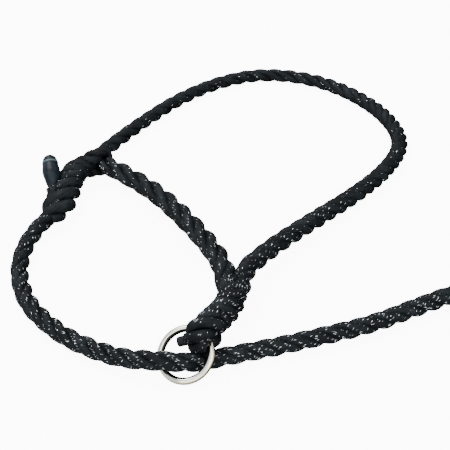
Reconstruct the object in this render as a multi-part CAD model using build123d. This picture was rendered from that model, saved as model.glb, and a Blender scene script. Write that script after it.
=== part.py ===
from build123d import *
import math
import os

# Rope halter with a running lead. It lies on a table: +Z is up, the ring points to -Y, the
# headpiece to +Y and the lead leaves towards +X. All sizes are in millimetres.
#
# One rope makes the noseband, the headpiece and the leg that is spliced around the ring.
# A second rope is spliced to the cheek corner, passes under the chin, runs through the ring
# and goes on as the lead.

ROPE_D = 15.0             # three-strand rope, slack
NOSEBAND_D = 18.0         # the same rope with its lay opened, so it stands fuller
RING_WIRE_D = 6.0
RING_INSIDE_D = 38.0
LOOP_ROPE_D = 11.0        # rope pulled flat where it turns tightly in a spliced eye
RING_SPLICE_D = 24.5      # tucked strands make the rope this fat
CHEEK_SPLICE_D = 25.5
STRAND_END_D = 6.5
CAP_D = 16.0              # dipped plastic end
CAP_LENGTH = 38.0
CAP_TIP_RADIUS = 6.7
CAP_NECK_D = 13.5
CAP_NECK_LENGTH = 13.0
CAP_BAND_D = 17.0         # thicker lip of the dip
CAP_BAND_WIDTH = 3.0
CAP_BAND_TO_TIP = 9.5
CAP_BAND_RADIUS = 0.35
ROUNDING = 0.3            # edge radius of soft ends, as a share of their diameter
GAP = 0.35                # running clearance around the ring's wire
CORNER_SHARE = 0.45       # how much of its shorter side a rounded corner takes up

# The origin is the middle of the halter's footprint. Layout points are measured from the
# middle of the noseband loop's right side, and OFFSET takes them to the origin.
OFFSET = Vector(-2.1, -54.3, 0.0)

RING_CENTRE = Vector(-31.8, -172.2, 14.4)
RING_NORMAL = Vector(-0.28, -0.42, 0.863)
EYE_ANGLE = 45.0          # place of the spliced eye on the ring, from its right side
RING_EYE_LEG = 13.0       # straight part of each leg of the eye

CHEEK_EYE_CENTRE = Vector(-129.0, 91.0, 16.0)
CHEEK_EYE_LEG = 15.0
CHEEK_EYE_BITE = 5.0      # how far the eye sinks into the soft noseband

COIL_CENTRE = Vector(325.0, 0.0, 0.0)
COIL_OUTER_TURN = 84.0    # radius of the outer turns' centre line
COIL_INNER_TURN = 69.0
COIL_LAYERS = 2

NOSEBAND_POINTS = [
    (10, -84, 22), (-12, -50, 22), (-38, -8, 22), (-72, 32, 20), (-108, 70, 17), (-137, 99, 13),
    (-128, 131, 9),
]
HEADPIECE_POINTS = [
    (8, -82, 22), (48, -41, 17), (90, 5, 10), (132, 44, 7.5), (173, 88, 7.5), (200, 140, 7.5), (190, 203, 7.5),
    (153, 256, 7.5), (104, 288, 7.5), (46, 300, 7.5), (-8, 281, 7.5), (-58, 238, 7.5), (-100, 184, 7.5),
    (-126, 138, 8.5), (-137, 99, 13),
]
RING_SPLICE_POINTS = [(-13, -151, 25), (-3, -128, 23), (7, -106, 22), (12, -78, 22)]
STRAND_END_POINTS = [(-24.0, -164.0, 24.0), (-39.0, -166.0, 19.5)]
CHEEK_SPLICE_POINTS = [(-144, 84, 14), (-158, 62, 14), (-165, 36, 14.5), (-170, 12, 13.5)]
TAIL_POINTS = [(-165, 10, 15), (-168.5, 25, 18), (-173, 39.5, 22.5)]
CAP_DIRECTION = Vector(-0.2, 0.887, 0.417)
CHIN_POINTS = [
    (-168, 20, 12), (-183, -4, 9), (-193, -32, 7.5), (-192, -70, 7.5), (-175, -110, 7.5), (-141, -143, 7.5),
    (-110, -161.5, 7.5), (-84, -172.5, 12), (-63, -178.5, 18), (-46, -180.5, 17.5), (-29, -179, 11),
    (-11, -172.5, 7.5), (15, -166, 7.5),
]
LEAD_POINTS = [
    (15, -166, 7.5), (41, -159.5, 7.5), (82, -147, 7.5), (126, -132, 7.5), (168, -111, 7.5), (208, -93, 7.5),
    (254, -82, 7.5), (298, -85, 7.5), (325, -84, 7.5),
]
COIL_END_POINTS = [(287, 54, 7.5), (273, 18, 8.6)]
LEAD_CAP_DIRECTION = Vector(-0.06, -1.0, 0.0)

# The headpiece folds about this line, which touches the top of the rope at both junctions.
HINGE_LEFT = Vector(-132.7, 115.4, 19.4)
HINGE_RIGHT = Vector(30.0, -59.0, 27.2)


def placed(points):
    """Layout points as vectors measured from the origin."""
    return [Vector(*point) + OFFSET for point in points]


def corner_radii(points):
    """The largest even arc radius at every inner point of a route."""
    radii = []
    for before, here, after in zip(points, points[1:], points[2:]):
        run_in = here - before
        run_out = after - here
        turn = math.radians(run_in.get_angle(run_out))
        radii.append(CORNER_SHARE * min(run_in.length, run_out.length) / math.tan(turn / 2))
    return radii


def rope_path(points):
    """Straight runs joined by tangent arcs."""
    return FilletPolyline(*points, radius=corner_radii(points))


def rope_tube(name, points, diameter):
    """A round tube along a route, with its arc radii and its volume printed."""
    path = rope_path(points)
    section = Plane(origin=path @ 0, z_dir=path % 0) * Circle(diameter / 2)
    tube = sweep(section, path=path)
    plain_volume = math.pi * (diameter / 2) ** 2 * path.length
    radii = ", ".join(f"{radius:.0f}" for radius in corner_radii(points))
    print(f"{name}: length {path.length:.0f}, volume ratio {tube.volume / plain_volume:.4f}, radii {radii}")
    return tube


def hinge_plane():
    """Upright plane through both ends of the fold line; its normal points to the headpiece."""
    along = HINGE_RIGHT - HINGE_LEFT
    normal = Vector(-along.Y, along.X, 0).normalized()
    return Plane(origin=HINGE_LEFT + OFFSET, z_dir=normal)


def ring_axes():
    """Unit vectors of the ring: to its right side, to its far side, and its normal."""
    normal = RING_NORMAL.normalized()
    right = (Vector(1, 0, 0) - normal * normal.X).normalized()
    return right, normal.cross(right), normal


def ring_point(angle):
    """A point on the wire's centre line."""
    right, far, _ = ring_axes()
    radius = (RING_INSIDE_D + RING_WIRE_D) / 2
    turn = math.radians(angle)
    return RING_CENTRE + OFFSET + (right * math.cos(turn) + far * math.sin(turn)) * radius


def lead_ring():
    """Welded round-wire ring."""
    right, _, normal = ring_axes()
    frame = Plane(origin=RING_CENTRE + OFFSET, x_dir=right, z_dir=normal)
    return frame * Torus((RING_INSIDE_D + RING_WIRE_D) / 2, RING_WIRE_D / 2)


def bight(centre, wrapped_direction, leg_direction, bend_radius, leg_length, diameter):
    """A U of rope whose bend goes round something that runs along wrapped_direction."""
    along = wrapped_direction.normalized()
    legs = (leg_direction - along * leg_direction.dot(along)).normalized()
    side = along.cross(legs)
    upper = centre + side * bend_radius
    lower = centre - side * bend_radius
    path = Wire([
        Edge.make_line(upper + legs * leg_length, upper),
        Edge.make_three_point_arc(upper, centre - legs * bend_radius, lower),
        Edge.make_line(lower, lower + legs * leg_length),
    ])
    section = Plane(origin=path @ 0, z_dir=path % 0) * Circle(diameter / 2)
    return sweep(section, path=path)


def ring_eye_loop():
    """The spliced leg's bight around the ring's wire."""
    centre = ring_point(EYE_ANGLE)
    right, far, _ = ring_axes()
    turn = math.radians(EYE_ANGLE)
    wire_direction = far * math.cos(turn) - right * math.sin(turn)
    splice_end = placed(RING_SPLICE_POINTS)[1]
    bend = (RING_WIRE_D + LOOP_ROPE_D) / 2 + GAP
    return bight(centre, wire_direction, splice_end - centre, bend, RING_EYE_LEG, LOOP_ROPE_D)


def cheek_eye_loop():
    """The chin rope's bight around the corner of the noseband."""
    noseband = placed(NOSEBAND_POINTS)
    centre = CHEEK_EYE_CENTRE + OFFSET
    to_splice = placed(CHEEK_SPLICE_POINTS)[1] - centre
    bend = (NOSEBAND_D + LOOP_ROPE_D) / 2 - CHEEK_EYE_BITE
    return bight(centre, noseband[5] - noseband[4], to_splice, bend, CHEEK_EYE_LEG, LOOP_ROPE_D)


def splice_body(name, points, diameter):
    """Fat tucked length of rope with rounded ends."""
    tube = rope_tube(name, points, diameter)
    ends = tube.faces().filter_by(GeomType.PLANE)
    return fillet([edge for face in ends for edge in face.edges()], diameter * ROUNDING)


def splice_strand_end():
    """Cut end of a tucked strand, standing out of the eye into the ring."""
    start, end = placed(STRAND_END_POINTS)
    length = (end - start).length
    stub = Cylinder(STRAND_END_D / 2, length, align=(Align.CENTER, Align.CENTER, Align.MIN))
    stub = fillet(stub.edges().group_by(Axis.Z)[-1], STRAND_END_D * ROUNDING)
    return Plane(origin=start, z_dir=end - start) * stub


def dipped_cap(base, direction):
    """Plastic-dipped rope end: a flared neck, a rounded plug and a thicker lip near its tip."""
    standing = (Align.CENTER, Align.CENTER, Align.MIN)
    neck = Cone(CAP_NECK_D / 2, CAP_D / 2, CAP_NECK_LENGTH, align=standing)
    plug = Pos(0, 0, CAP_NECK_LENGTH) * Cylinder(CAP_D / 2, CAP_LENGTH - CAP_NECK_LENGTH, align=standing)
    plug = fillet(plug.edges().group_by(Axis.Z)[-1], CAP_TIP_RADIUS)
    band = Pos(0, 0, CAP_LENGTH - CAP_BAND_TO_TIP) * Cylinder(CAP_BAND_D / 2, CAP_BAND_WIDTH)
    band = fillet(band.edges().filter_by(GeomType.CIRCLE), CAP_BAND_RADIUS)
    return Plane(origin=base, z_dir=direction) * (neck + plug + band)


def noseband_rope():
    """Noseband with the start of the headpiece, which bends out of the cheek corner."""
    tube = rope_tube("noseband_rope", placed(NOSEBAND_POINTS), NOSEBAND_D)
    return split(tube, bisect_by=hinge_plane(), keep=Keep.BOTTOM)


def headpiece_rope():
    """The part of the headpiece that folds up about the line between both junctions."""
    tube = rope_tube("headpiece_rope", placed(HEADPIECE_POINTS), ROPE_D)
    return split(tube, bisect_by=hinge_plane(), keep=Keep.TOP)


def ring_splice():
    """Spliced leg from the ring to the fork, with the short root of the headpiece."""
    body = splice_body("ring_splice", placed(RING_SPLICE_POINTS), RING_SPLICE_D)
    root = rope_tube("headpiece root", placed(HEADPIECE_POINTS[:3]), ROPE_D)
    return body + split(root, bisect_by=hinge_plane(), keep=Keep.BOTTOM)


def straight_rod(start, end, diameter):
    """A round rod between two points."""
    standing = (Align.CENTER, Align.CENTER, Align.MIN)
    rod = Cylinder(diameter / 2, (end - start).length, align=standing)
    return Plane(origin=start, z_dir=end - start) * rod


def lead_coil():
    """Outer shape of the put-away turns, with the rope's end leaving them on the inside."""
    height = ROPE_D * COIL_LAYERS
    standing = (Align.CENTER, Align.CENTER, Align.MIN)
    outside = Cylinder(COIL_OUTER_TURN + ROPE_D / 2, height, align=standing)
    inside = Cylinder(COIL_INNER_TURN - ROPE_D / 2, height, align=standing)
    ring = fillet((outside - inside).edges(), ROPE_D * ROUNDING)
    rope_end = straight_rod(*placed(COIL_END_POINTS), ROPE_D)
    return Pos(*(COIL_CENTRE + OFFSET)) * ring + rope_end


def lead_end_cap():
    """Cap of the lead, lying inside the coil."""
    return dipped_cap(placed(COIL_END_POINTS)[-1], LEAD_CAP_DIRECTION)


def all_parts():
    tail = placed(TAIL_POINTS)
    return {
        "noseband_rope": noseband_rope(),
        "headpiece_rope": headpiece_rope(),
        "ring_splice": ring_splice(),
        "ring_eye_loop": ring_eye_loop(),
        "splice_strand_end": splice_strand_end(),
        "lead_ring": lead_ring(),
        "cheek_eye_loop": cheek_eye_loop(),
        "cheek_splice": splice_body("cheek_splice", placed(CHEEK_SPLICE_POINTS), CHEEK_SPLICE_D),
        "rope_tail": rope_tube("rope_tail", tail, ROPE_D),
        "tail_end_cap": dipped_cap(tail[-1], CAP_DIRECTION),
        "chin_rope": rope_tube("chin_rope", placed(CHIN_POINTS), ROPE_D),
        "lead_rope": rope_tube("lead_rope", placed(LEAD_POINTS), ROPE_D),
        "lead_coil": lead_coil(),
        "lead_end_cap": lead_end_cap(),
    }


os.makedirs("parts", exist_ok=True)
for node, shape in all_parts().items():
    export_step(shape, f"parts/{node}.step")
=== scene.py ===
import math

import bpy
import numpy as np
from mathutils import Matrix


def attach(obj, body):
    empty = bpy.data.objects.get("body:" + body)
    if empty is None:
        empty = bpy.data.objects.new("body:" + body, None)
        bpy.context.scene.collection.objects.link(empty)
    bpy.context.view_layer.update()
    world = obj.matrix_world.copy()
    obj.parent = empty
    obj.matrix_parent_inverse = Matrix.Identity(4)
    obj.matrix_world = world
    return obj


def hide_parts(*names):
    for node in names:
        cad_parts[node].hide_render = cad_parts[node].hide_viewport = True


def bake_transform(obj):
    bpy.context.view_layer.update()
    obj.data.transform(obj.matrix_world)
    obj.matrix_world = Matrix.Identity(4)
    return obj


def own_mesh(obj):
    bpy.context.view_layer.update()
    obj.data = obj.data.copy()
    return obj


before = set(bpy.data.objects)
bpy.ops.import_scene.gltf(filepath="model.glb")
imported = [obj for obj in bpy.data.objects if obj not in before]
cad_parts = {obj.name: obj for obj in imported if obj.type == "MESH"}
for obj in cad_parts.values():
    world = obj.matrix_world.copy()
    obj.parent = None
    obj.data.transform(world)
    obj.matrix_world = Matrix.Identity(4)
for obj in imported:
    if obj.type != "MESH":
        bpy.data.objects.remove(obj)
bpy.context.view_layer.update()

# Rope halter with a running lead, lying on a table. Metres everywhere, in the CAD frame. The ropes
# are three twisted strands laid round smooth lines; MM turns the layout's millimetres to metres.

MM = 0.001
OFFSET = np.array((-2.1, -54.3, 0.0))      # layout points to the origin, in millimetres

STEP = 1.3 * MM                # distance between the sections of a strand
SHAPE_FADE = 6 * MM            # half the length over which one shape of section turns to the next
YARNS = 9                      # twisted yarns that show round a strand
YARN_PATTERN = (0.0, 0.3, 1.0, 0.3)        # how deep each vertex of a yarn lies, from crown to groove
YARN_DEPTH = 0.34 * MM
YARN_ANGLE = math.radians(38)  # how far the yarns lie round their strand, against the rope's own lay

# Flecks: short flat dashes where the metallic thread comes up between the yarns.
FLECK_SPACING = 2.5 * MM
FLECK_STRAY = (0.15, 0.85)     # where in its spacing a dash's middle may lie
FLECK_SIZE = (2.7 * MM, 0.50 * MM, 0.34 * MM)
FLECK_LENGTHS = (0.6, 1.15)    # shortest and longest, times the size above
FLECK_WIDTHS = (0.75, 1.2)
FLECK_SINK = 0.06 * MM         # how far a dash's middle lies under the strand's surface
FLECK_ROWS = (24, 46, -46)     # degrees round a strand, from its outermost line
FLECK_ROW_SPREAD = 0.12        # radians that a dash strays from its row
FLECK_LEAN_SPREAD = 0.35       # radians that a dash turns away from the yarns' way

# Shapes of a rope's section: the strands' radius, how far their centres lie from the rope's line
# to its side and above it, and the length of one turn of the lay, all in millimetres. TUCKED is for
# strands that run inside another rope.
LEAD = dict(strand=4.5, side=3.9, above=3.6, lay=51)
FAR_LEAD = dict(strand=4.75, side=4.1, above=3.6, lay=51)
COILED = dict(strand=4.2, side=3.5, above=3.3, lay=51)
CHIN = dict(strand=4.6, side=4.0, above=3.7, lay=54)
CROWN = dict(strand=4.4, side=4.6, above=3.8, lay=56)
BEND = dict(strand=5.1, side=4.3, above=3.7, lay=40)
NEAR = dict(strand=5.1, side=4.5, above=4.0, lay=50)
FORK = dict(strand=5.1, side=4.5, above=4.2, lay=57)
NOSE = dict(strand=5.4, side=5.4, above=4.9, lay=75)
NOSE_FORK = dict(strand=5.3, side=5.2, above=4.8, lay=72)
TUCKED = dict(strand=3.0, side=2.6, above=2.6, lay=54)
TAIL = dict(strand=4.1, side=3.3, above=3.3, lay=50)
RING_EYE = dict(strand=4.9, side=7.4, above=3.2, lay=36)
RING_SPLICE = dict(strand=5.3, side=8.0, above=7.4, lay=34)
RING_SPLICE_TOP = dict(strand=2.6, side=7.2, above=6.6, lay=34)
CHEEK_EYE = dict(strand=3.8, side=2.9, above=2.2, lay=36)
CHEEK_SPLICE_TOP = dict(strand=5.6, side=9.4, above=6.6, lay=34)
CHEEK_SPLICE = dict(strand=6.5, side=10.6, above=7.2, lay=52)
CHEEK_SPLICE_END = dict(strand=4.0, side=4.4, above=4.2, lay=52)

RING_CENTRE = (-31.8, -172.2, 14.4)
RING_NORMAL = (-0.28, -0.42, 0.863)
RING_INSIDE_D = 38.0
RING_WIRE_D = 6.0
RING_MIDDLE_R = (RING_INSIDE_D + RING_WIRE_D) / 2
RING_SECTION_POINTS = 32
RING_STEP = 2.5                # degrees
EYE_ANGLE = 45.0               # degrees round the ring from its right to its spliced eye
WELD_HEIGHT = 0.12             # millimetres that the weld stands out from the wire
WELD_ANGLE = 4.0               # degrees of the ring over which the weld fades

# Routes: the CAD's points, in millimetres of the layout, with some moved or added.
LEG_HOME = (-2, -136, 23)
LEG_POINTS = [(-7.2, -146, 28), (2.2, -130, 25), (7, -114, 24), (9.5, -99, 24)]
NOSEBAND_POINTS = [
    (5, -128, 23), (2, -103, 23), (-1, -78, 24), (-13, -50, 23), (-38, -8, 22), (-70, 36.5, 20),
    (-107, 73, 17), (-129, 92, 15), (-140.5, 104, 11.5),
]
HEADPIECE_POINTS = [
    (-134, 121.5, 9), (-124.3, 139.9, 8.5), (-98, 180.4, 8), (-57, 235, 7.7), (-7.5, 276.5, 7.7),
    (46, 297, 7.7), (104, 286.5, 7.7), (151.5, 252.5, 7.9), (188, 200, 8.4), (199.5, 140, 8.6),
    (172.5, 88.5, 8.8), (132, 44, 9), (90, 5, 11), (50, -38, 17), (31, -62, 20), (18, -80, 22),
    (14, -101, 23), (8, -127, 23),
]
CHEEK_SPLICE_POINTS = [
    (-149, 86, 17), (-157.5, 74, 17), (-161, 52, 16.5), (-163.5, 34, 15.5), (-166, 18, 14), (-173, 3, 11),
]
CHIN_POINTS = [
    (-158, 62, 15), (-165, 37, 14.5), (-170, 13, 12), (-182, -5, 9), (-190.5, -33, 8.3),
    (-189.5, -70, 8.3), (-174, -109.5, 8.3), (-141, -143.5, 8.3), (-110, -161.5, 8.3),
    (-84, -174, 12), (-63, -181, 17.5), (-46, -181.5, 17), (-29, -178.5, 11), (-11, -172, 8),
]
LEAD_POINTS = [
    (15, -165, 7.8), (41, -158.5, 7.8), (82, -146.5, 7.8), (126, -133, 8), (168, -112.5, 8),
    (208, -94, 7.9), (254, -82, 7.7), (298, -85, 7.5),
]
COIL_END_POINTS = [(287, 52, 7.5), (276, 36, 7.9), (273, 18, 8.6)]
TAIL_POINTS = [(-165, 10, 15), (-168.5, 25, 18), (-173, 39.5, 22.5)]

CHEEK_EYE_CENTRE = (-133, 94, 16)
CHEEK_HOME = (-154, 74, 15)
STRAND_END_POINTS = [(-24.0, -164.0, 24.5), (-39.0, -165.0, 21.0)]
STRAND_END_RINGS = 26
STRAND_END_TIP = (3.7, 2.4)                # radius of its last two rings
STRAND_END_TWIST_R = 3.1 * MM              # radius by which its yarns twist
STRAND_END_ROW = 0.5                       # radians round it to its one row of flecks
TAIL_CAP_DIRECTION = (-0.2, 0.887, 0.417)
LEAD_CAP_DIRECTION = (-0.06, -1.0, 0.0)
BOW_END = (-95, -168, 9)
LEAD_START = (15, -166, 7)                 # where the lead leaves the ring

CAP_PROFILE = [                # a dipped end's radius at each height above the rope's end
    (-3.0, 4.0), (-1.0, 4.4), (0.6, 4.8), (4.0, 5.6), (9.0, 7.2), (14.0, 8.5), (18.0, 9.0), (22.0, 8.8),
    (26.5, 8.0), (27.6, 8.2), (28.4, 8.3), (29.4, 8.2), (30.2, 7.6), (32.0, 7.4), (34.0, 6.8),
    (35.8, 5.6), (37.0, 4.2), (37.7, 2.6), (38.0, 0.9),
]
CAP_LIP_HIGHLIGHT = (27.3 * MM, 29.6 * MM)           # heights between which the lip's band is painted lighter, as a highlight
CAP_FRONT = (0.3, 0.2, 1.0)                # the section's first direction is square to this
CAP_RINGS = 100
CAP_SECTION_POINTS = 48
CAP_LOBE_HEIGHT = 0.5 * MM     # how far the strands show through the neck
CAP_LOBE_FADE = 20 * MM
CAP_LAY = 52 * MM

# Put-away turns: the angle, radius and height that the line has reached, between which it changes
# evenly. It climbs once over its own start and comes down once on the inside.
COIL_CENTRE = (325.0, 0.0)
COIL_STAGES = [
    (-90, 84, 7.5), (200, 84, 7.5), (262, 84, 22.5), (495, 84, 22.5), (540, 69, 22.5), (800, 69, 22.5),
    (855, 69, 7.5), (1175, 69, 7.5),
]
COIL_POINTS_PER_TURN = 16
BEND_RADIUS = 9.8              # how far a rope lies from the middle of what it bends round

# Where round the rope the first strand starts, in degrees.
HEADSTALL_ANGLE = 20
LEG_ANGLE = 20
CHEEK_ANGLE = 0
SECOND_ANGLE = 0
TAIL_ANGLE = 40

CAMERA_PLACE = (-0.0021, -0.6564, 0.5122)
CAMERA_TILT = math.radians(50) # up from straight down
CAMERA_LENS = 64               # millimetres, on a sensor 36 wide

FLOOR_HALF = 60.0              # metres
FLOOR_DROP = 0.3 * MM
FLOOR_GLOW = 10.0
WORLD_GLOW = 1.1

# Soft square lights: place and size in metres, and power in watts.
LIGHTS = {
    "key": ((-0.5, 0.35, 1.3), 0.9, 22),
    "fill": ((0.9, -0.9, 1.0), 1.2, 8),
}

# Cards that only reflections see: direction from the halter, distance and size in metres, and glow.
TOWARDS_CAMERA = (0, -0.766, 0.643)
CARDS = {
    "card_beyond": ((0, 0.766, -0.643), 2.4, 5.0, (0.22, 0.17, 0.07)),
    "card_back": ((0.72, 0.62, 0.0), 2.0, 2.6, (0.0, 0.0, 0.0)),
    "card_right": ((0.62, -0.10, -0.75), 2.0, 2.6, (0.0, 0.0, 0.0)),
    "card_front": (TOWARDS_CAMERA, 2.0, 3.2, (3.2, 3.2, 3.1)),
    "card_middle": (TOWARDS_CAMERA, 1.9, 0.55, (0.3, 0.32, 0.34)),
}


def unit(vector):
    vector = np.asarray(vector, float)
    return vector / np.linalg.norm(vector)


def placed(points):
    """Layout millimetres to metres in the row frame."""
    return (np.asarray(points, float) + OFFSET) * MM


# ---------------------------------------------------------------- camera, floor and light

def make_camera():
    """A camera that stands in front of the ring and looks 40 degrees down."""
    data = bpy.data.cameras.new("camera")
    data.lens = CAMERA_LENS
    data.sensor_width = 36
    camera = bpy.data.objects.new("camera", data)
    camera.location = CAMERA_PLACE
    camera.rotation_euler = (CAMERA_TILT, 0, 0)
    bpy.context.collection.objects.link(camera)
    bpy.context.scene.camera = camera


def make_square(name, half):
    """A flat square mesh in an object of its own, which faces up."""
    mesh = bpy.data.meshes.new(name)
    corners = [(-half, -half, 0), (half, -half, 0), (half, half, 0), (-half, half, 0)]
    mesh.from_pydata(corners, [], [(0, 1, 2, 3)])
    square = bpy.data.objects.new(name, mesh)
    bpy.context.collection.objects.link(square)
    return square


def make_floor():
    """A white table top that glows by itself and throws no light on the ropes."""
    floor = make_square("floor", FLOOR_HALF)
    floor.location.z = -FLOOR_DROP
    material, _, shader = new_material("floor_white")
    shader.inputs["Base Color"].default_value = (0.93, 0.93, 0.93, 1)
    shader.inputs["Roughness"].default_value = 0.9
    shader.inputs["Specular IOR Level"].default_value = 0.1
    shader.inputs["Emission Color"].default_value = (1, 1, 1, 1)
    shader.inputs["Emission Strength"].default_value = FLOOR_GLOW
    floor.data.materials.append(material)
    floor.visible_diffuse = False
    floor.visible_glossy = False


def make_light(name, place, size, power):
    """A square soft light that looks at the middle of the halter."""
    data = bpy.data.lights.new(name, "AREA")
    data.size = size
    data.energy = power
    light = bpy.data.objects.new(name, data)
    light.location = place
    towards = -np.asarray(place, float)
    tilt = math.atan2(math.hypot(towards[0], towards[1]), -towards[2])
    light.rotation_euler = (tilt, 0, math.atan2(towards[1], towards[0]) - math.pi / 2)
    bpy.context.collection.objects.link(light)


def make_card(name, direction, distance, size, colour):
    """A card outside the picture, of an even glow or black, which only reflections see."""
    card = make_square(name, size / 2)
    card.location = unit(direction) * distance
    card.rotation_euler = (0, math.acos(unit(direction)[2]), math.atan2(direction[1], direction[0]))
    card.visible_camera = False
    card.visible_diffuse = False
    card.visible_shadow = False
    paper, _, shader = new_material(name)
    shader.inputs["Base Color"].default_value = (0, 0, 0, 1)
    shader.inputs["Specular IOR Level"].default_value = 0.0
    shader.inputs["Emission Color"].default_value = (*colour, 1)
    shader.inputs["Emission Strength"].default_value = 1.0
    card.data.materials.append(paper)


def make_surroundings():
    """Even white surroundings, with the lights, the cards and the floor."""
    world = bpy.data.worlds.new("white_room")
    world.use_nodes = True
    background = world.node_tree.nodes["Background"]
    background.inputs["Color"].default_value = (1, 1, 1, 1)
    background.inputs["Strength"].default_value = WORLD_GLOW
    bpy.context.scene.world = world
    for name, (place, size, power) in LIGHTS.items():
        make_light(name, place, size, power)
    for name, (direction, distance, size, colour) in CARDS.items():
        make_card(name, direction, distance, size, colour)
    make_floor()


# ---------------------------------------------------------------- materials

def new_material(name):
    material = bpy.data.materials.new(name)
    material.use_nodes = True
    tree = material.node_tree
    return material, tree, tree.nodes["Principled BSDF"]


def node(tree, kind, **settings):
    """A new node with these settings, and with these values of its inputs."""
    made = tree.nodes.new(kind)
    for key, value in settings.items():
        if hasattr(made, key):
            setattr(made, key, value)
        else:
            made.inputs[key.replace("_", " ")].default_value = value
    return made


def ramp(tree, source, stops):
    """The colour output of a ramp over a source, from (place, colour) stops."""
    made = tree.nodes.new("ShaderNodeValToRGB")
    elements = made.color_ramp.elements
    while len(elements) < len(stops):
        elements.new(0.5)
    for element, (place, colour) in zip(elements, stops):
        element.position = place
        element.color = (*colour, 1)
    tree.links.new(source, made.inputs["Fac"])
    return made.outputs["Color"]


def rope_material():
    """Black synthetic yarn: dark cool tones, fine filaments along each yarn."""
    material, tree, shader = new_material("rope_black")
    link = tree.links.new
    surface = node(tree, "ShaderNodeUVMap", uv_map="UVMap")
    filaments = node(tree, "ShaderNodeMapping")
    filaments.inputs["Scale"].default_value = (0.35, 90, 1)
    link(surface.outputs["UV"], filaments.inputs["Vector"])
    fine = node(tree, "ShaderNodeTexNoise", Scale=1.0, Detail=3.0, Roughness=0.6)
    link(filaments.outputs["Vector"], fine.inputs["Vector"])
    place = node(tree, "ShaderNodeTexCoord")
    broad = node(tree, "ShaderNodeTexNoise", Scale=70.0, Detail=2.0)
    link(place.outputs["Object"], broad.inputs["Vector"])
    tone = node(tree, "ShaderNodeMix", data_type="FLOAT")
    tone.inputs[0].default_value = 0.45
    link(fine.outputs["Fac"], tone.inputs[2])
    link(broad.outputs["Fac"], tone.inputs[3])
    colour = ramp(tree, tone.outputs[0], [
        (0.30, (0.0006, 0.0012, 0.0018)), (0.50, (0.0030, 0.0050, 0.0064)), (0.68, (0.016, 0.022, 0.027)),
    ])
    link(colour, shader.inputs["Base Color"])
    rough = node(tree, "ShaderNodeMapRange")
    rough.inputs["To Min"].default_value = 0.42
    rough.inputs["To Max"].default_value = 0.68
    link(fine.outputs["Fac"], rough.inputs["Value"])
    link(rough.outputs["Result"], shader.inputs["Roughness"])
    shader.inputs["Specular IOR Level"].default_value = 0.10
    bump = node(tree, "ShaderNodeBump", Strength=0.55, Distance=0.0003)
    link(fine.outputs["Fac"], bump.inputs["Height"])
    link(bump.outputs["Normal"], shader.inputs["Normal"])
    return material


def fleck_material():
    """Flat silver thread, brighter and duller from dash to dash."""
    material, tree, shader = new_material("silver_thread")
    place = node(tree, "ShaderNodeTexCoord")
    patches = node(tree, "ShaderNodeTexNoise", Scale=450.0, Detail=1.0)
    tree.links.new(place.outputs["Object"], patches.inputs["Vector"])
    colour = ramp(tree, patches.outputs["Fac"], [(0.35, (0.16, 0.19, 0.22)), (0.62, (0.85, 0.90, 0.94))])
    tree.links.new(colour, shader.inputs["Base Color"])
    shader.inputs["Metallic"].default_value = 0.9
    shader.inputs["Roughness"].default_value = 0.3
    return material


def nickel_material():
    """Polished plated wire with faint marks, and painted reflections round the wire: brassy at its outer
    edge, a grey line across its face and near black on its inner side.
    """
    material, tree, shader = new_material("ring_nickel")
    place = node(tree, "ShaderNodeTexCoord")
    marks = node(tree, "ShaderNodeTexNoise", Scale=260.0, Detail=4.0, Roughness=0.65)
    tree.links.new(place.outputs["Object"], marks.inputs["Vector"])
    colour = ramp(tree, marks.outputs["Fac"], [(0.3, (0.80, 0.79, 0.71)), (0.7, (0.92, 0.92, 0.87))])
    inside = node(tree, "ShaderNodeAttribute", attribute_name="inside")
    # Painted reflections by place round the wire: a brassy outer edge, a grey line across its face, and a
    # near black inner side that stands for the dark rope and shade it would reflect.
    painted_reflection_bands = ramp(tree, inside.outputs["Fac"], [
        (0.05, (0.50, 0.38, 0.18)), (0.20, (1.0, 1.0, 0.97)), (0.38, (1.0, 1.0, 1.0)),
        (0.46, (0.50, 0.55, 0.52)), (0.54, (1.0, 1.0, 1.0)), (0.64, (0.95, 0.95, 0.92)),
        (0.74, (0.02, 0.018, 0.014)),
    ])
    with_painted_reflections = node(tree, "ShaderNodeMix", data_type="RGBA", blend_type="MULTIPLY")
    with_painted_reflections.inputs[0].default_value = 1.0
    tree.links.new(colour, with_painted_reflections.inputs[6])
    tree.links.new(painted_reflection_bands, with_painted_reflections.inputs[7])
    tree.links.new(with_painted_reflections.outputs[2], shader.inputs["Base Color"])
    rough = node(tree, "ShaderNodeMapRange")
    rough.inputs["To Min"].default_value = 0.06
    rough.inputs["To Max"].default_value = 0.16
    tree.links.new(marks.outputs["Fac"], rough.inputs["Value"])
    tree.links.new(rough.outputs["Result"], shader.inputs["Roughness"])
    shader.inputs["Metallic"].default_value = 1.0
    bump = node(tree, "ShaderNodeBump", Strength=0.12, Distance=0.0002)
    tree.links.new(marks.outputs["Fac"], bump.inputs["Height"])
    tree.links.new(bump.outputs["Normal"], shader.inputs["Normal"])
    return material


def dipped_material(name, darker, lighter):
    """Glossy plastic with clouds between two colours."""
    material, tree, shader = new_material(name)
    place = node(tree, "ShaderNodeTexCoord")
    clouds = node(tree, "ShaderNodeTexNoise", Scale=120.0, Detail=3.0)
    tree.links.new(place.outputs["Object"], clouds.inputs["Vector"])
    colour = ramp(tree, clouds.outputs["Fac"], [(0.35, darker), (0.7, lighter)])
    tree.links.new(colour, shader.inputs["Base Color"])
    shader.inputs["Roughness"].default_value = 0.33
    shader.inputs["Specular IOR Level"].default_value = 0.14
    bump = node(tree, "ShaderNodeBump", Strength=0.25, Distance=0.0004)
    tree.links.new(clouds.outputs["Fac"], bump.inputs["Height"])
    tree.links.new(bump.outputs["Normal"], shader.inputs["Normal"])
    return material


# ---------------------------------------------------------------- lines

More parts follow.
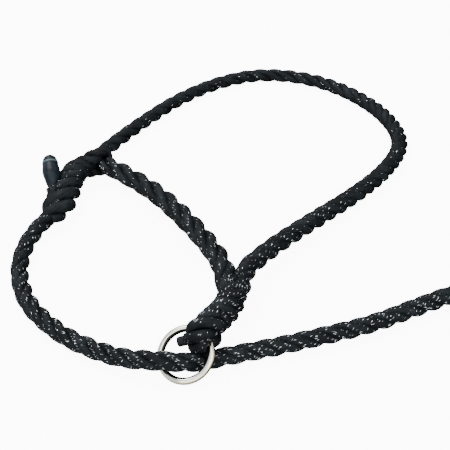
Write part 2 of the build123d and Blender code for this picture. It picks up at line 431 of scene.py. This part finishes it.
def spline_points(control):
    """Points along the smooth NURBS spline that has these control points, in metres."""
    data = bpy.data.curves.new("route", "CURVE")
    data.dimensions = "3D"
    data.resolution_u = 48
    spline = data.splines.new("NURBS")
    spline.points.add(len(control) - 1)
    for slot, point in zip(spline.points, control):
        slot.co = (*point, 1.0)
    spline.order_u = 3
    spline.use_endpoint_u = True
    holder = bpy.data.objects.new("route", data)
    bpy.context.collection.objects.link(holder)
    bpy.context.view_layer.update()
    read = bpy.data.meshes.new_from_object(holder)
    points = np.array([vertex.co for vertex in read.vertices], float)
    bpy.data.objects.remove(holder)
    bpy.data.curves.remove(data)
    bpy.data.meshes.remove(read)
    return points


def distances(points):
    """Distance of each point along the line."""
    return np.concatenate(([0.0], np.cumsum(np.linalg.norm(np.diff(points, axis=0), axis=1))))


def directions(points):
    """Unit direction of the line at each point."""
    change = np.gradient(points, axis=0)
    return change / np.linalg.norm(change, axis=1, keepdims=True)


def sampled(places, at, values):
    """Rows of values, known at the distances at, read at other places along the line."""
    return np.stack([np.interp(places, at, values[:, axis]) for axis in range(3)], axis=1)


def across(vectors, along):
    """Unit vectors made square to the directions along."""
    square = vectors - along * np.sum(vectors * along, axis=1, keepdims=True)
    return square / np.linalg.norm(square, axis=1, keepdims=True)


def carried(first, along):
    """A side direction carried along the line without twisting about it."""
    sides = np.empty_like(along)
    side = np.asarray(first, float)
    for index, direction in enumerate(along):
        side = unit(side - direction * np.dot(side, direction))
        sides[index] = side
    return sides


def u_turn(home, centre, wrapped, onward, below, above):
    """Control points of a bend round something that runs along wrapped, and that way's unit vector.

    The rope comes from home, goes in below the centre and out above it, towards onward. below and
    above say how far from the centre its two legs start to part.
    """
    home, centre, onward = (np.asarray(point, float) for point in (home, centre, onward))
    along = unit(wrapped)
    legs = onward - centre
    legs = unit(legs - along * np.dot(legs, along))
    up = np.cross(along, legs)
    up = up if up[2] > 0 else -up
    under = centre - up * BEND_RADIUS
    over = centre + up * BEND_RADIUS
    leaving = centre + up * BEND_RADIUS * 0.9          # here the upper leg closes in on the lower
    return [
        home,
        under + legs * below,
        under - legs * BEND_RADIUS,
        over - legs * BEND_RADIUS,
        leaving + legs * above,
    ], along


# ---------------------------------------------------------------- laid rope

class Rope:
    """Three strands laid right-handed round a smooth line. Pieces cut from it match where they meet."""

    def __init__(self, control, first_side, shapes, first_angle):
        line = spline_points(placed(control))
        along_line = distances(line)
        self.length = along_line[-1]
        self.at = np.linspace(0, self.length, int(self.length / STEP) + 1)
        self.line = sampled(self.at, along_line, line)
        along = directions(self.line)
        side = carried(first_side, along)
        above = np.cross(side, along)
        section = self.sections(shapes)
        turn = -np.cumsum(2 * math.pi * STEP / section["lay"])
        self.strands = [
            self.strand(math.radians(first_angle) + turn + 2 * math.pi * number / 3, side, above, section)
            for number in range(3)
        ]

    def nearest(self, point):
        """Distance along the line to the place nearest to a layout point."""
        gaps = np.linalg.norm(self.line - placed(point), axis=1)
        return self.at[int(np.argmin(gaps))]

    def sections(self, shapes):
        """Sizes of the section along the line, from (place, shape) pairs.

        A place is a distance along the line or a layout point near it.
        """
        places = [place if isinstance(place, float) else self.nearest(place) for place, _ in shapes]
        made = {}
        for key in LEAD:
            values = [shape[key] * MM for _, shape in shapes]
            made[key] = np.interp(self.at, places, values)
        reach = int(SHAPE_FADE / STEP)
        window = np.hanning(2 * reach + 1)
        window /= window.sum()
        for key, values in made.items():
            padded = np.concatenate((np.full(reach, values[0]), values, np.full(reach, values[-1])))
            made[key] = np.convolve(padded, window, mode="valid")
        return made

    def strand(self, angle, side, above, section):
        """One strand, whose middle goes round the line by these angles."""
        shift = side * (section["side"] * np.cos(angle))[:, None]
        shift += above * (section["above"] * np.sin(angle))[:, None]
        centre = self.line + shift
        along = directions(centre)
        out = across(shift, along)
        distance = distances(centre)
        radius = section["strand"]
        twist = -np.concatenate(([0.0], np.cumsum(np.diff(distance) * math.tan(YARN_ANGLE) / radius[1:])))
        return dict(
            centre=centre, along=along, out=out, over=np.cross(along, out), radius=radius,
            distance=distance, twist=twist,
        )

    def span(self, start, end):
        """Section numbers between two places."""
        first = int(np.searchsorted(self.at, start - 1e-9))
        last = int(np.searchsorted(self.at, end - 1e-9))
        return first, min(last, len(self.at) - 1)

    def piece(self, name, start, end, materials, flecks, seed):
        """The mesh of the three strands between two places, with its metallic flecks."""
        first, last = self.span(start, end)
        builder = Builder()
        random = np.random.default_rng(seed)
        for strand in self.strands:
            cut = {key: values[first:last + 1] for key, values in strand.items()}
            builder.add_strand(cut)
            for row in FLECK_ROWS:
                builder.add_flecks(cut, math.radians(row), flecks, random)
        return builder.make(name, materials)

    def path(self, start, end):
        """Points of the rope's line between two places."""
        first, last = self.span(start, end)
        return self.line[first:last + 1]


# A dash's faces; its tips are both ends, both sides, and top and bottom.
DASH_FACES = [(0, 2, 4), (2, 1, 4), (1, 3, 4), (3, 0, 4), (2, 0, 5), (1, 2, 5), (3, 1, 5), (0, 3, 5)]


class Builder:
    """Collects vertices and faces for one mesh."""

    def __init__(self):
        self.vertices = []
        self.faces = []
        self.uvs = []
        self.slots = []
        self.count = 0

    def add_strand(self, strand):
        """A closed tube along a strand, with grooves between its twisted yarns."""
        around = YARNS * len(YARN_PATTERN)
        angles = np.arange(around) * 2 * math.pi / around
        depth = np.tile(YARN_PATTERN, YARNS) * YARN_DEPTH
        theta = angles[None, :] + strand["twist"][:, None]
        radius = strand["radius"][:, None] - depth[None, :]
        points = (
            strand["centre"][:, None, :]
            + strand["out"][:, None, :] * (radius * np.cos(theta))[:, :, None]
            + strand["over"][:, None, :] * (radius * np.sin(theta))[:, :, None]
        )
        rings = len(strand["centre"])
        row, column = np.meshgrid(np.arange(rings - 1), np.arange(around), indexing="ij")
        here = row * around + column
        beside = row * around + (column + 1) % around
        quads = np.stack([here, beside, beside + around, here + around], axis=-1)
        quads = quads.reshape(-1, 4) + self.count
        length = strand["distance"] / MM
        u = np.stack([length[row], length[row], length[row + 1], length[row + 1]], axis=-1).reshape(-1)
        v = np.stack([column, column + 1, column + 1, column], axis=-1).reshape(-1) / around
        self.faces += quads.tolist()
        self.uvs.append(np.stack([u, v], axis=-1))
        self.slots += [0] * len(quads)
        for ring, order in ((0, -1), (rings - 1, 1)):
            self.faces.append([self.count + ring * around + index for index in range(around)][::order])
            self.uvs.append(np.zeros((around, 2)))
            self.slots.append(0)
        self.vertices.append(points.reshape(-1, 3))
        self.count += rings * around

    def add_flecks(self, strand, row_angle, shares, random):
        """Short metallic dashes in a row along a strand, lying as the yarns lie.

        shares says how many of the places carry one, at even steps from the strand's start to its end.
        """
        at = strand["distance"]
        number = int((at[-1] - at[0]) / FLECK_SPACING)
        places = at[0] + (np.arange(number) + random.uniform(*FLECK_STRAY, number)) * FLECK_SPACING
        wanted = np.interp(places, np.linspace(at[0], at[-1], len(shares)), shares)
        places = places[random.uniform(0, 1, number) < wanted]
        number = len(places)
        if number == 0:
            return
        centre, along, out, over = (
            sampled(places, at, strand[key]) for key in ("centre", "along", "out", "over")
        )
        radius = np.interp(places, at, strand["radius"])
        theta = row_angle + random.normal(0, FLECK_ROW_SPREAD, number)
        outward = out * np.cos(theta)[:, None] + over * np.sin(theta)[:, None]
        around = over * np.cos(theta)[:, None] - out * np.sin(theta)[:, None]
        lean = YARN_ANGLE + random.normal(0, FLECK_LEAN_SPREAD, number)
        length_way = along * np.cos(lean)[:, None] - around * np.sin(lean)[:, None]
        width_way = np.cross(outward, length_way)
        middle = centre + outward * (radius - FLECK_SINK)[:, None]
        lengths = FLECK_SIZE[0] * random.uniform(*FLECK_LENGTHS, number)
        widths = FLECK_SIZE[1] * random.uniform(*FLECK_WIDTHS, number)
        heights = np.full(number, FLECK_SIZE[2])
        self.add_dashes(middle, ((length_way, lengths), (width_way, widths), (outward, heights)))

    def add_dashes(self, middle, extents):
        """Flat eight-sided bodies round their middles; each extent is a way and the sizes along it."""
        tips = []
        for way, size in extents:
            half = way * (size / 2)[:, None]
            tips += [middle + half, middle - half]
        points = np.stack(tips, axis=1).reshape(-1, 3)
        starts = self.count + len(tips) * np.arange(len(middle))
        for corners in DASH_FACES:
            self.faces += (starts[:, None] + np.array(corners)).tolist()
            self.uvs.append(np.zeros((3 * len(middle), 2)))
            self.slots += [1] * len(middle)
        self.vertices.append(points)
        self.count += len(points)

    def make(self, name, materials):
        """An object of all that was added."""
        mesh = bpy.data.meshes.new(name)
        mesh.from_pydata(np.concatenate(self.vertices).tolist(), [], self.faces)
        layer = mesh.uv_layers.new(name="UVMap")
        layer.data.foreach_set("uv", np.concatenate(self.uvs).astype(np.float32).ravel())
        for material in materials:
            mesh.materials.append(material)
        mesh.polygons.foreach_set("material_index", self.slots)
        mesh.polygons.foreach_set("use_smooth", [slot == 0 for slot in self.slots])
        mesh.update()
        made = bpy.data.objects.new(name, mesh)
        bpy.context.collection.objects.link(made)
        return made


# ---------------------------------------------------------------- turned and swept small parts

def swept(name, centres, outs, overs, radii, materials, closed=False, second=()):
    """A smooth tube through rings of points; radii has one row per ring and one column per direction.

    The rings named in second carry the second material.
    """
    rings, around = radii.shape
    angles = np.arange(around) * 2 * math.pi / around
    points = (
        centres[:, None, :]
        + outs[:, None, :] * (radii * np.cos(angles))[:, :, None]
        + overs[:, None, :] * (radii * np.sin(angles))[:, :, None]
    ).reshape(-1, 3)
    faces = []
    last = rings if closed else rings - 1
    for ring in range(last):
        for column in range(around):
            beside = (column + 1) % around
            above = (ring + 1) % rings
            faces.append((ring * around + column, ring * around + beside,
                          above * around + beside, above * around + column))
    if not closed:
        faces.append(tuple(range(around))[::-1])
        faces.append(tuple((rings - 1) * around + column for column in range(around)))
    mesh = bpy.data.meshes.new(name)
    mesh.from_pydata(points.tolist(), [], faces)
    for material in materials:
        mesh.materials.append(material)
    mesh.polygons.foreach_set("use_smooth", [True] * len(faces))
    mesh.polygons.foreach_set("material_index", [int(face[0] // around in second) for face in faces])
    mesh.update()
    made = bpy.data.objects.new(name, mesh)
    bpy.context.collection.objects.link(made)
    return made


def ring_axes():
    """Unit vectors to the ring's right, to its far side and square to it."""
    normal = unit(RING_NORMAL)
    right = unit(np.array((1.0, 0, 0)) - normal * normal[0])
    return right, np.cross(normal, right), normal


def make_ring(material):
    """Round wire ring; the wire is a hair thicker at its welded joint, under the spliced eye."""
    right, far, normal = ring_axes()
    turns = np.radians(np.arange(0, 360, RING_STEP))
    outs = right * np.cos(turns)[:, None] + far * np.sin(turns)[:, None]
    weld = np.exp(-((np.degrees(turns) - EYE_ANGLE) / WELD_ANGLE) ** 2)
    wire = (RING_WIRE_D / 2 + WELD_HEIGHT * weld) * MM
    radii = np.repeat(wire[:, None], RING_SECTION_POINTS, axis=1)
    overs = np.repeat(normal[None, :], len(turns), axis=0)
    centres = placed(RING_CENTRE) + outs * RING_MIDDLE_R * MM
    ring = swept("ring", centres, -outs, overs, radii, [material], closed=True)
    angles = np.arange(RING_SECTION_POINTS) * 2 * math.pi / RING_SECTION_POINTS
    # How far round the wire towards the ring's middle each point lies; the material paints its
    # reflections by this.
    inside = ring.data.attributes.new("inside", "FLOAT", "POINT")
    inside.data.foreach_set("value", np.tile(0.5 + 0.5 * np.cos(angles), len(turns)))
    return ring


def make_cap(name, base, direction, materials):
    """Plastic-dipped end: the strands show faintly through its neck, and a lip stands near its tip, its
    band painted lighter as a highlight.
    """
    profile = np.array(CAP_PROFILE) * MM
    heights = np.linspace(profile[0, 0], profile[-1, 0], CAP_RINGS)
    sizes = np.interp(heights, profile[:, 0], profile[:, 1])
    axis = unit(direction)
    out = unit(np.cross(axis, CAP_FRONT))
    over = np.cross(axis, out)
    angles = np.arange(CAP_SECTION_POINTS) * 2 * math.pi / CAP_SECTION_POINTS
    lobes = np.cos(3 * (angles[None, :] - heights[:, None] / CAP_LAY * 2 * math.pi))
    fade = np.clip(1 - heights / CAP_LOBE_FADE, 0, 1)[:, None]
    radii = sizes[:, None] + lobes * fade * CAP_LOBE_HEIGHT
    centres = placed(base) + axis * heights[:, None]
    # Rings of the lip's band, which carry the painted highlight's lighter material.
    lip = set(np.flatnonzero((heights > CAP_LIP_HIGHLIGHT[0]) & (heights < CAP_LIP_HIGHLIGHT[1])).tolist())
    outs, overs = (np.repeat(way[None], CAP_RINGS, 0) for way in (out, over))
    return swept(name, centres, outs, overs, radii, materials, second=lip)


def make_strand_end(material, thread):
    """Cut and slightly frayed end of a tucked strand, standing into the ring."""
    start, end = (placed(point) for point in STRAND_END_POINTS)
    share = np.linspace(0, 1, STRAND_END_RINGS)
    centre = start + (end - start) * share[:, None]
    along = directions(centre)
    out = carried((0, 0, 1), along)
    distance = distances(centre)
    radius = (4.0 + 0.5 * share - 0.3 * share ** 12) * MM      # it opens, and rounds off at its cut
    radius[-2:] = np.array(STRAND_END_TIP) * MM
    strand = dict(
        centre=centre, along=along, out=out, over=np.cross(along, out), radius=radius,
        distance=distance, twist=-distance * math.tan(YARN_ANGLE) / STRAND_END_TWIST_R,
    )
    builder = Builder()
    builder.add_strand(strand)
    builder.add_flecks(strand, STRAND_END_ROW, (0.5, 0.5), np.random.default_rng(5))
    return builder.make("splice_strand_end_mesh", [material, thread])


# ---------------------------------------------------------------- the halter

def ring_point(angle):
    """Layout point on the middle of the ring's wire."""
    right, far, _ = ring_axes()
    turn = math.radians(angle)
    return np.array(RING_CENTRE) + (right * math.cos(turn) + far * math.sin(turn)) * RING_MIDDLE_R


def make_headstall():
    """The rope of the noseband and the headpiece, from the fork round to the fork again."""
    return Rope(
        NOSEBAND_POINTS + HEADPIECE_POINTS, (0.8, 0.5, 0),
        [
            (0.0, TUCKED), ((-1, -106, 23), NOSE_FORK), ((-14, -50, 23), NOSE_FORK),
            ((-38, -8, 22), NOSE), ((-118, 82, 16), NOSE), ((-128, 128, 10), CROWN),
            ((104, 288, 7), CROWN), ((190, 203, 7), BEND), ((173, 88, 7), BEND), ((110, 25, 10), NEAR),
            ((40, -50, 18), FORK), ((14, -104, 23), FORK), ((7, -127, 23), TUCKED),
        ],
        first_angle=HEADSTALL_ANGLE,
    )


def make_leg():
    """Tucked strands of the spliced leg, which go round the ring's wire and up to the fork."""
    right, far, _ = ring_axes()
    turn = math.radians(EYE_ANGLE)
    wire = far * math.cos(turn) - right * math.sin(turn)
    centre = ring_point(EYE_ANGLE)
    bend, side = u_turn(LEG_HOME, centre, wire, LEG_POINTS[0], below=6, above=9)
    return Rope(
        bend + LEG_POINTS, side,
        [
            (0.0, TUCKED), (bend[1], RING_EYE), (bend[3], RING_EYE), ((-8, -146, 29), RING_SPLICE),
            ((7, -114, 24), RING_SPLICE), (LEG_POINTS[-1], RING_SPLICE_TOP),
        ],
        first_angle=LEG_ANGLE,
    )


def coil_points():
    """Control points of the put-away turns."""
    spread = 1 / math.cos(math.pi / COIL_POINTS_PER_TURN)
    angles = np.arange(COIL_STAGES[0][0], COIL_STAGES[-1][0], 360 / COIL_POINTS_PER_TURN)
    stages = np.array(COIL_STAGES, float)
    radius = np.interp(angles, stages[:, 0], stages[:, 1]) * spread
    height = np.interp(angles, stages[:, 0], stages[:, 2])
    turn = np.radians(angles)
    return [
        (COIL_CENTRE[0] + r * math.cos(t), COIL_CENTRE[1] + r * math.sin(t), z)
        for r, t, z in zip(radius, turn, height)
    ]


def make_cheek():
    """Tucked strands of the cheek splice, which hold the second rope to the noseband's corner."""
    corner = np.array(NOSEBAND_POINTS[-1]) - np.array(NOSEBAND_POINTS[-2])
    bend, side = u_turn(CHEEK_HOME, CHEEK_EYE_CENTRE, corner, CHEEK_SPLICE_POINTS[1], below=4, above=5)
    return Rope(
        bend + CHEEK_SPLICE_POINTS, side,
        [
            (0.0, TUCKED), (bend[1], CHEEK_EYE), (bend[3], CHEEK_EYE), ((-152, 77, 17), CHEEK_SPLICE_TOP),
            ((-159, 60, 17), CHEEK_SPLICE_TOP), ((-163, 40, 16), CHEEK_SPLICE),
            ((-166, 18, 14), CHEEK_SPLICE), (CHEEK_SPLICE_POINTS[-1], CHEEK_SPLICE_END),
        ],
        first_angle=CHEEK_ANGLE,
    )


def make_second_rope():
    """The rope of the chin and the lead, from inside the cheek splice to its capped end."""
    return Rope(
        CHIN_POINTS + LEAD_POINTS + coil_points() + COIL_END_POINTS, (0.7, 0.7, 0),
        [
            (0.0, TUCKED), ((-166, 30, 14), TUCKED), ((-177, 2, 10), CHIN), ((-110, -161, 8), CHIN),
            (LEAD_START, LEAD), ((126, -132, 7), LEAD), ((208, -93, 7), FAR_LEAD),
            ((290, -85, 7), COILED),
        ],
        first_angle=SECOND_ANGLE,
    )


make_camera()
make_surroundings()
rope_black = rope_material()
silver = fleck_material()
ROPE = [rope_black, silver]
DIPPED = [
    dipped_material("dipped_end", (0.003, 0.006, 0.010), (0.010, 0.019, 0.028)),
    # The lip's band gets a lighter colour, a painted highlight.
    dipped_material("dipped_lip_painted_highlight", (0.05, 0.075, 0.09), (0.12, 0.17, 0.19)),
]

# The lead, from the ring to its capped end.
second = make_second_rope()
ring_left = second.nearest(BOW_END)
ring_right = second.nearest(LEAD_START)
lead = second.piece("lead", ring_right, second.length, ROPE, (0.65, 0.65), 11)
lead_cap = make_cap("lead_cap", COIL_END_POINTS[-1], LEAD_CAP_DIRECTION, DIPPED)
lead_path = second.path(ring_right, second.length)
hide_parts("lead_rope", "lead_coil")
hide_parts("lead_end_cap")
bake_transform(lead)
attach(lead_cap, "lead")

# The first rope: its spliced leg round the ring's wire, the noseband and the headpiece.
headstall = make_headstall()
corner_at = headstall.nearest((-134, 118, 11))
leg = make_leg()
eye_end = leg.nearest((-9, -150, 32))
ring_eye = leg.piece("ring_eye", 0.0, eye_end, ROPE, (0.4, 0.6), 21)
ring_leg = leg.piece("ring_splice_strands", eye_end, leg.length, ROPE, (0.6, 0.55), 22)
noseband = headstall.piece("noseband", 0.0, corner_at, ROPE, (0.65, 0.5, 0.4), 23)
headpiece = headstall.piece(
    "headpiece", corner_at, headstall.length, ROPE, (0.12, 0.14, 0.12, 0.25, 0.7), 24,
)
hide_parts("ring_eye_loop")
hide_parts("ring_splice")
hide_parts("noseband_rope")
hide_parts("headpiece_rope")
for piece in (ring_eye, ring_leg, noseband):
    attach(piece, "halter")
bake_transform(headpiece)

# The second rope's splice round the noseband's corner, its bow under the chin and its way through
# the ring.
cheek = make_cheek()
cheek_start = cheek.nearest((-143, 84, 17))
cheek_eye = cheek.piece("cheek_eye", 0.0, cheek_start, ROPE, (0.0, 0.05), 31)
cheek_splice = cheek.piece(
    "cheek_splice_strands", cheek_start, cheek.length, ROPE, (0.05, 0.35, 0.2, 0.1), 32,
)
chin_bow = second.piece("chin_bow", 0.0, ring_left, ROPE, (0.45, 0.5, 0.8), 33)
ring_pass = second.piece("chin_in_ring", ring_left, ring_right, ROPE, (0.7, 0.75), 34)
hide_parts("cheek_eye_loop")
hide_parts("cheek_splice")
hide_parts("chin_rope")
for piece in (cheek_eye, cheek_splice, ring_pass):
    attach(piece, "halter")
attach(chin_bow, "halter")
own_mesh(chin_bow)

# The tail of the second rope with its cap, the cut strand end and the ring.
tail_rope = Rope(TAIL_POINTS, (1, 0, 0), [(0.0, TAIL)], first_angle=TAIL_ANGLE)
tail = tail_rope.piece("tail", 0.0, tail_rope.length, ROPE, (0.5, 0.5), 41)
tail_cap = make_cap("tail_cap", TAIL_POINTS[-1], TAIL_CAP_DIRECTION, DIPPED)
strand_end = make_strand_end(rope_black, silver)
ring = make_ring(nickel_material())
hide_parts("rope_tail")
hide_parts("tail_end_cap")
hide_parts("splice_strand_end")
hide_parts("lead_ring")
for piece in (tail, tail_cap, strand_end):
    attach(piece, "halter")
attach(ring, "ring")
